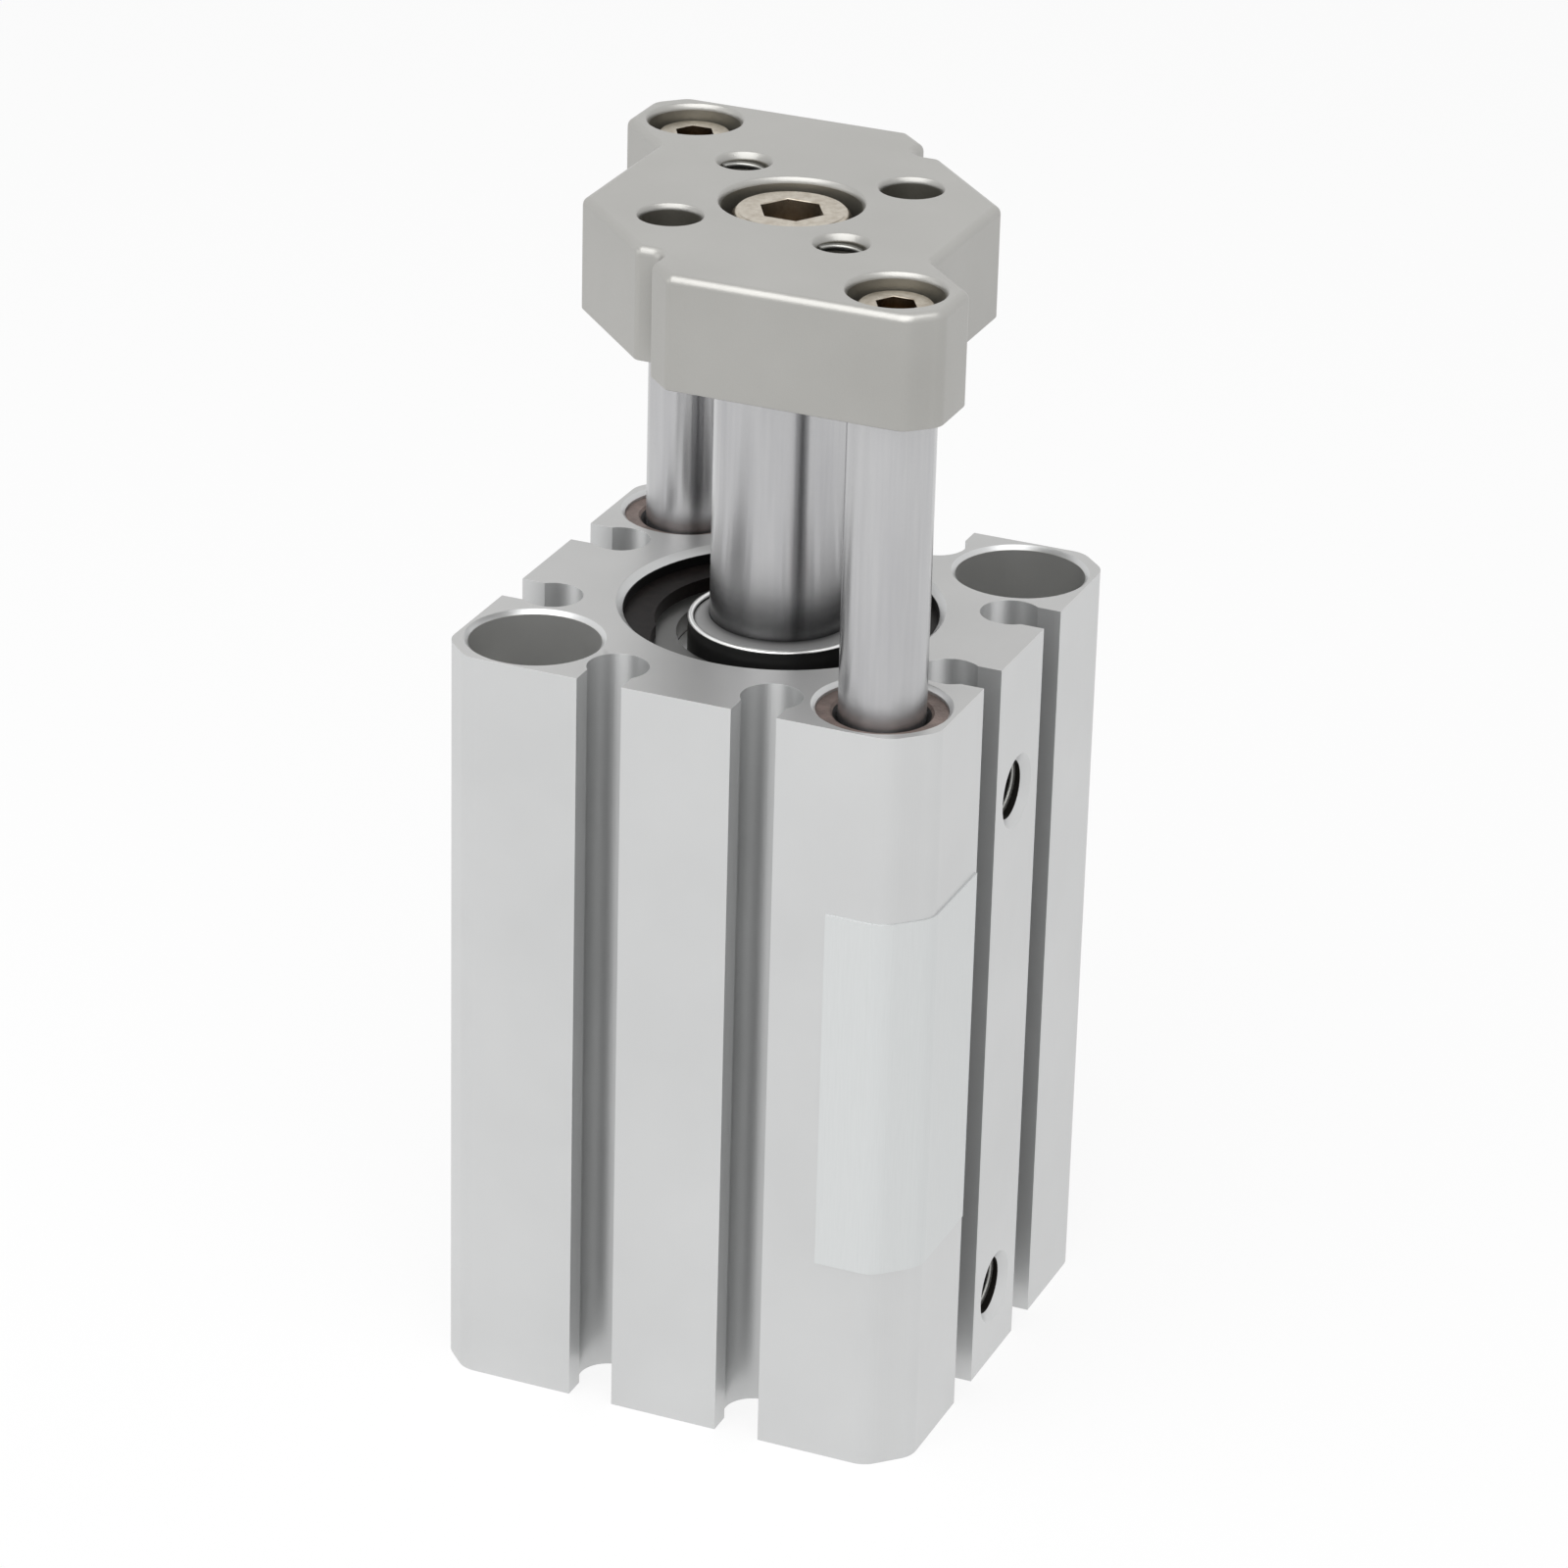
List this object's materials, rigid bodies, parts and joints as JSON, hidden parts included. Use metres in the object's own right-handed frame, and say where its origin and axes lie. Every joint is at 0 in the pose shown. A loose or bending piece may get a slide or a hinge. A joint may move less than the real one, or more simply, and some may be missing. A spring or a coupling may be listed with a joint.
{
  "type": "guided pneumatic cylinder",
  "caption": "Compact square air cylinder whose piston rod and guide rods carry a plate that slides in and out without turning.",
  "frame": {"origin": "on the tube's axis at its lower end face", "axes": "+Z along the rods towards the guide plate, +X out of the face with the air ports"},
  "size_m": [0.0361, 0.0361, 0.0853],
  "materials": {
    "tube_aluminium": "pale satin anodised extrusion",
    "plate_aluminium": "fine bead-blasted",
    "cover_aluminium": "machined, grey anodised",
    "piston_aluminium": "machined",
    "rod_chrome": "hard chromed, ground and polished",
    "bush_bronze": "oil-filled sintered bronze, matt brown",
    "clip_steel": "black phosphated spring steel",
    "scraper_steel": "bright pressed steel",
    "seal_rubber": "black nitrile rubber",
    "lip_rubber": "dark grey filled rubber",
    "bumper_urethane": "translucent brown urethane",
    "magnet_ferrite": "dark bonded ferrite",
    "wear_polymer": "dark resin",
    "screw_steel": "nickel-plated, slightly warm",
    "label_film": "blank pale silver polyester film"
  },
  "bodies": {
    "cylinder_body": {"cylinder_tube": "tube_aluminium", "bottom_plate": "cover_aluminium", "bottom_gasket": "seal_rubber", "rod_cover_gasket": "seal_rubber", "head_bumper": "bumper_urethane", "rod_bumper": "bumper_urethane", "rod_cover": "cover_aluminium", "rod_bushing": "bush_bronze", "rod_seal": "seal_rubber", "scraper_case": "scraper_steel", "scraper_lip": "lip_rubber", "retaining_ring": "clip_steel", "lower_guide_bush_front": "bush_bronze", "upper_guide_bush_front": "bush_bronze", "lower_guide_bush_back": "bush_bronze", "upper_guide_bush_back": "bush_bronze", "blank_label": "label_film"},
    "rod_carriage": {"piston": "piston_aluminium", "wear_ring": "wear_polymer", "piston_magnet": "magnet_ferrite", "piston_seal": "seal_rubber", "rod_gasket": "seal_rubber", "piston_rod": "rod_chrome", "guide_rod_front": "rod_chrome", "guide_rod_back": "rod_chrome", "guide_plate": "plate_aluminium", "centre_screw": "screw_steel", "guide_screw_front": "screw_steel", "guide_screw_back": "screw_steel"}
  },
  "joints": [
    {"name": "rod_slide", "type": "slide", "parent": "cylinder_body", "child": "rod_carriage", "axis": [0, 0, 1], "range_m": [-0.017, 0.008]}
  ]
}
